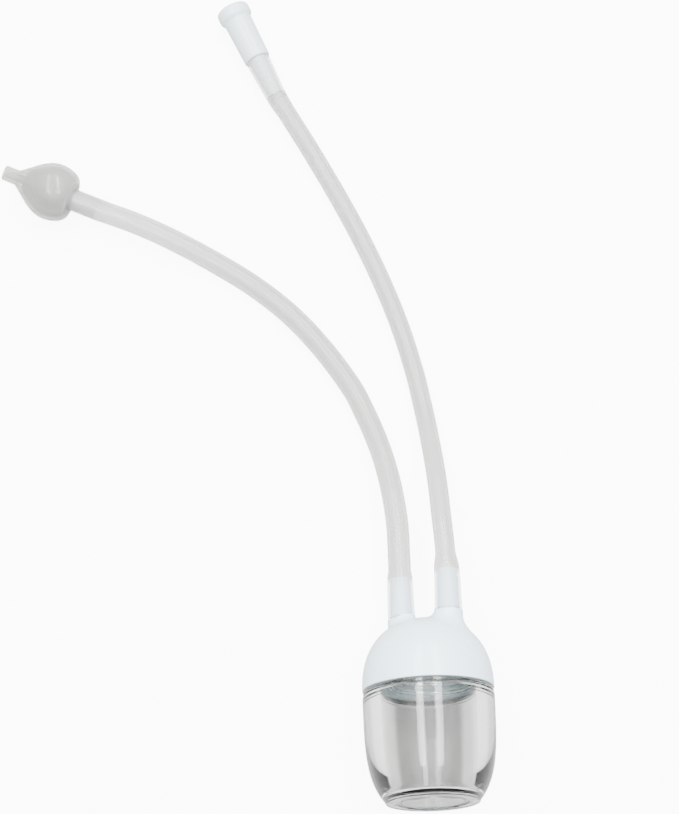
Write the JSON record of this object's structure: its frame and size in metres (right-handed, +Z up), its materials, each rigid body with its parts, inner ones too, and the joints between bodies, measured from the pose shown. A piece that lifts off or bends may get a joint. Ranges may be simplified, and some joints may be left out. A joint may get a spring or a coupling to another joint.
{
  "type": "nasal aspirator",
  "caption": "Mouth-suction nasal aspirator: clear screw-on collection cup under a white domed cap with two ports, silicone hoses, soft nose tip and mouthpiece, lying on its side.",
  "frame": {"origin": "on the table under the middle of the cap and cup together, measured without the hoses and what is on them", "axes": "+Z up off the table that the object lies on, +Y along the cup's axis from the cup's base towards the two ports, +X to the side of the upper (mouth) port"},
  "size_m": [0.1513, 0.2742, 0.04],
  "materials": {
    "cap_white": "satin-gloss cool white polypropylene",
    "cup_clear": "clear thick-walled plastic, polished",
    "ring_silicone": "clear silicone, satin",
    "valve_silicone": "milky silicone, matt",
    "hose_silicone": "translucent milky silicone, satin",
    "tip_silicone": "translucent grey silicone, satin",
    "connector_clear": "frosted clear plastic",
    "mouthpiece_white": "satin white plastic"
  },
  "bodies": {
    "cap": {"dome_cap": "cap_white"},
    "valve": {"backflow_valve": "valve_silicone"},
    "ring": {"seal_ring": "ring_silicone"},
    "cup": {"collection_cup": "cup_clear"},
    "nose_line": {"nose_hose": "hose_silicone"},
    "connector": {"tip_connector": "connector_clear"},
    "tip": {"nose_tip": "tip_silicone"},
    "mouth_line": {"mouth_hose": "hose_silicone"},
    "mouth_end": {"mouthpiece": "mouthpiece_white"}
  },
  "joints": [
    {"name": "cup_withdraw", "type": "slide", "parent": "cap", "child": "ring", "axis": [0, -1, 0], "range_m": [0, 0.0088]},
    {"name": "cup_twist", "type": "hinge", "parent": "ring", "child": "cup", "pos_m": [0, -0.0004, 0.02], "axis": [0, -1, 0], "range_deg": [0, 1260]},
    {"name": "valve_pull", "type": "slide", "parent": "cap", "child": "valve", "axis": [0, -1, 0], "range_m": [0, 0.005]},
    {"name": "nose_hose_pull", "type": "slide", "parent": "cap", "child": "nose_line", "axis": [0, 1, 0], "range_m": [0, 0.013]},
    {"name": "mouth_hose_pull", "type": "slide", "parent": "cap", "child": "mouth_line", "axis": [0, 1, 0], "range_m": [0, 0.013]},
    {"name": "connector_pull", "type": "slide", "parent": "nose_line", "child": "connector", "axis": [-0.9155, 0.3962, 0.0698], "range_m": [0, 0.016]},
    {"name": "tip_pull", "type": "slide", "parent": "connector", "child": "tip", "axis": [-0.9155, 0.3962, 0.0698], "range_m": [0, 0.009]},
    {"name": "mouthpiece_pull", "type": "slide", "parent": "mouth_line", "child": "mouth_end", "axis": [-0.4064, 0.9127, 0.0419], "range_m": [0, 0.015]}
  ],
  "couplings": [
    {"joint": "cup_withdraw", "follows": "cup_twist", "m_per_rad": 0.00039789}
  ]
}
